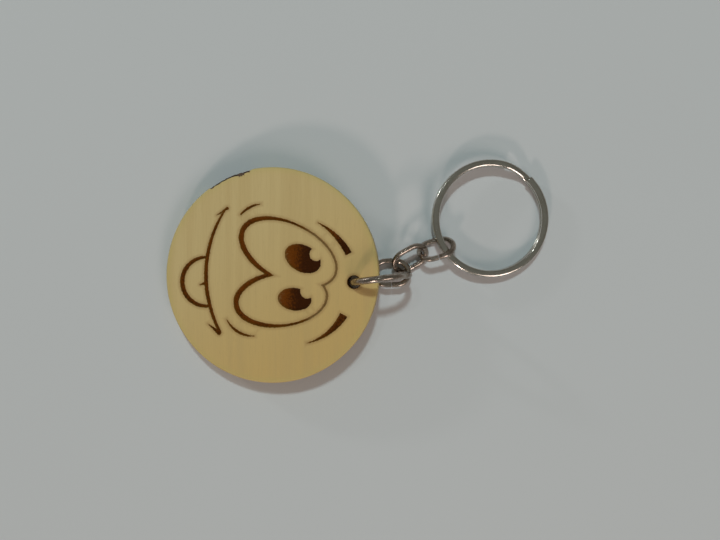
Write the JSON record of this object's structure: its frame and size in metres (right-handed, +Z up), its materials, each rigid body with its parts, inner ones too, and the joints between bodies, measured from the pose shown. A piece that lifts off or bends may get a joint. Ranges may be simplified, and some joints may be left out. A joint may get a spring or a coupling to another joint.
{
  "type": "keychain",
  "caption": "Round wooden tag with a burnt cartoon smiley, on an upright jump ring, a short chain of oval links and a two-coil split ring.",
  "frame": {"origin": "on the table, under the middle of the whole object's box", "axes": "+X from the wooden disc towards the split ring, along the keychain; +Z up from the table it lies on; +Y completes the frame"},
  "size_m": [0.081, 0.047, 0.013],
  "materials": {
    "wood": "satin, sanded pale wood with burnt dark brown grooves",
    "chain_wire": "nickel-plated wire, slightly tarnished",
    "ring_steel": "nickel-plated spring steel, polished"
  },
  "bodies": {
    "disc": {"wooden_disc": "wood"},
    "jump_ring_body": {"jump_ring": "chain_wire"},
    "link_1": {"chain_link_1": "chain_wire"},
    "link_2": {"chain_link_2": "chain_wire"},
    "link_3": {"chain_link_3": "chain_wire"},
    "key_ring": {"split_ring": "ring_steel"}
  },
  "joints": [
    {"name": "jump_ring_swing", "type": "hinge", "parent": "disc", "child": "jump_ring_body", "pos_m": [-0.00075, -0.00246, 0.00539], "axis": [-0.0924, 0, 0.9957], "range_deg": [-70, 30]},
    {"name": "link_1_slide_round", "type": "hinge", "parent": "jump_ring_body", "child": "link_1", "pos_m": [0.00467, -0.00173, 0.0065], "axis": [0.13, -0.9914, 0.0121], "range_deg": [0, 140]},
    {"name": "link_2_swing", "type": "hinge", "parent": "link_1", "child": "link_2", "pos_m": [0.01004, 0.00194, 0.00231], "axis": [-0.3235, 0.5842, -0.7443], "range_deg": [-60, 60]},
    {"name": "link_3_swing", "type": "hinge", "parent": "link_2", "child": "link_3", "pos_m": [0.01546, 0.00419, 0.00244], "axis": [-0.2406, 0.6759, 0.6966], "range_deg": [-70, 70]},
    {"name": "split_ring_swing", "type": "hinge", "parent": "link_3", "child": "key_ring", "pos_m": [0.01758, 0.00477, 0.0026], "axis": [0.2406, -0.6759, -0.6966], "range_deg": [-80, 80]}
  ]
}
